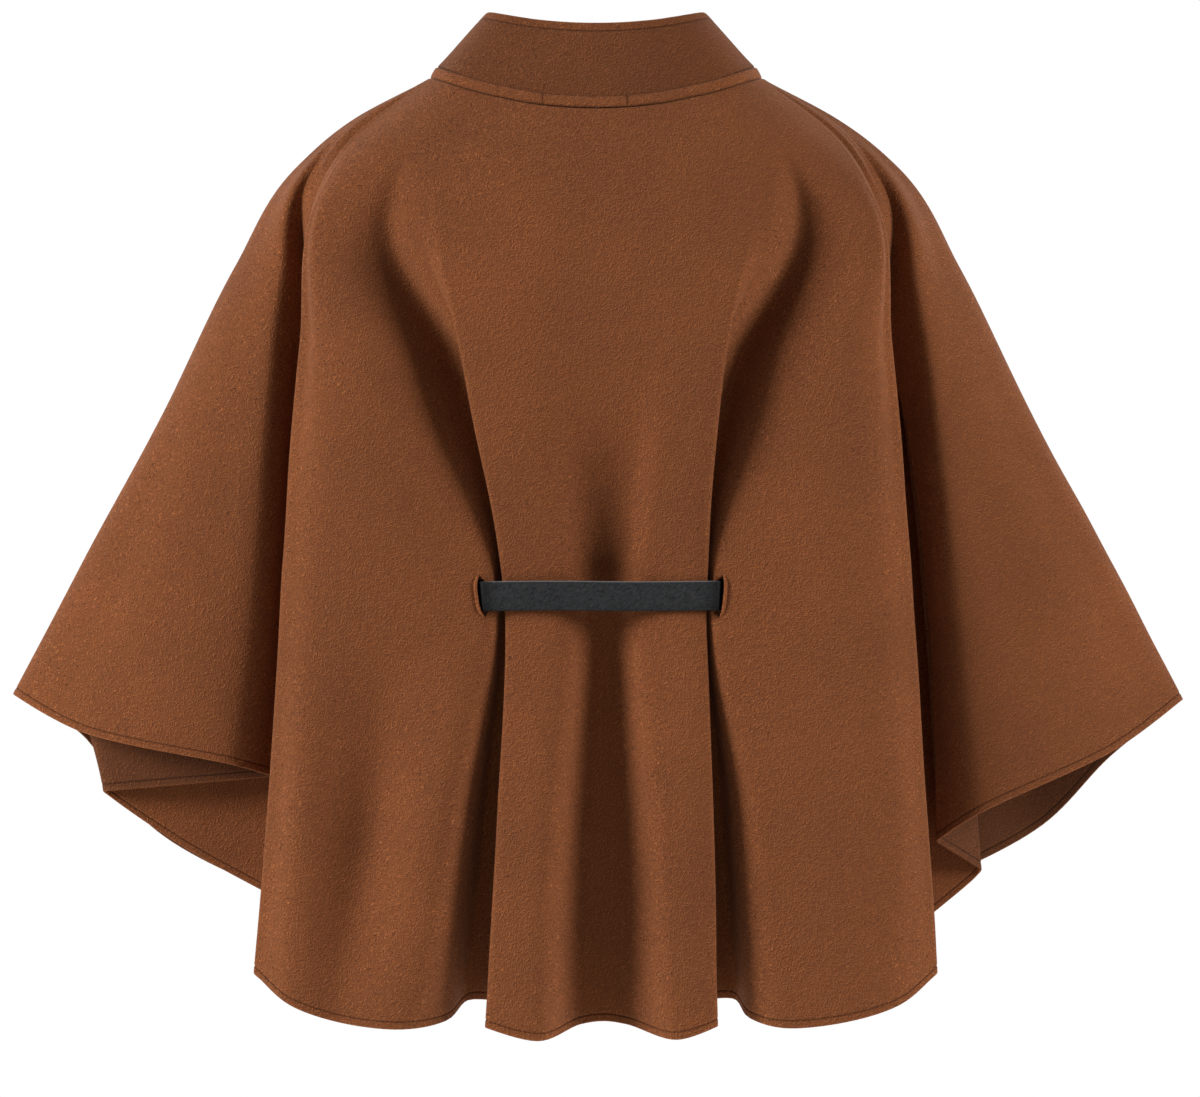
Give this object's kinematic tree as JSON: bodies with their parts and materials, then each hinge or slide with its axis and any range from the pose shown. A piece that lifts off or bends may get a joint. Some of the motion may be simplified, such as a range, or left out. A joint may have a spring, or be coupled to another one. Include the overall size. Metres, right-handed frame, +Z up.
{
  "type": "belted cape coat",
  "caption": "Hip-length wool cape with a funnel stand collar, deep back pleats and a narrow leather belt through two slits, hollow as worn.",
  "frame": {"origin": "middle of the neck opening, at the height where the collar starts at the sides of the neck", "axes": "+X to the wearer's left, +Y to the wearer's back, +Z up"},
  "size_m": [0.8992, 0.284, 0.7709],
  "materials": {
    "wool": "brushed",
    "leather": "satin",
    "buckle": "satin",
    "buttons": "gloss"
  },
  "bodies": {
    "root": {"back": "wool", "front_left": "wool", "front_right": "wool", "neck_welt": "wool", "collar": "wool", "belt": "leather", "buckle": "buckle", "button_1": "buttons", "button_2": "buttons", "button_3": "buttons", "button_4": "buttons"}
  },
  "joints": []
}
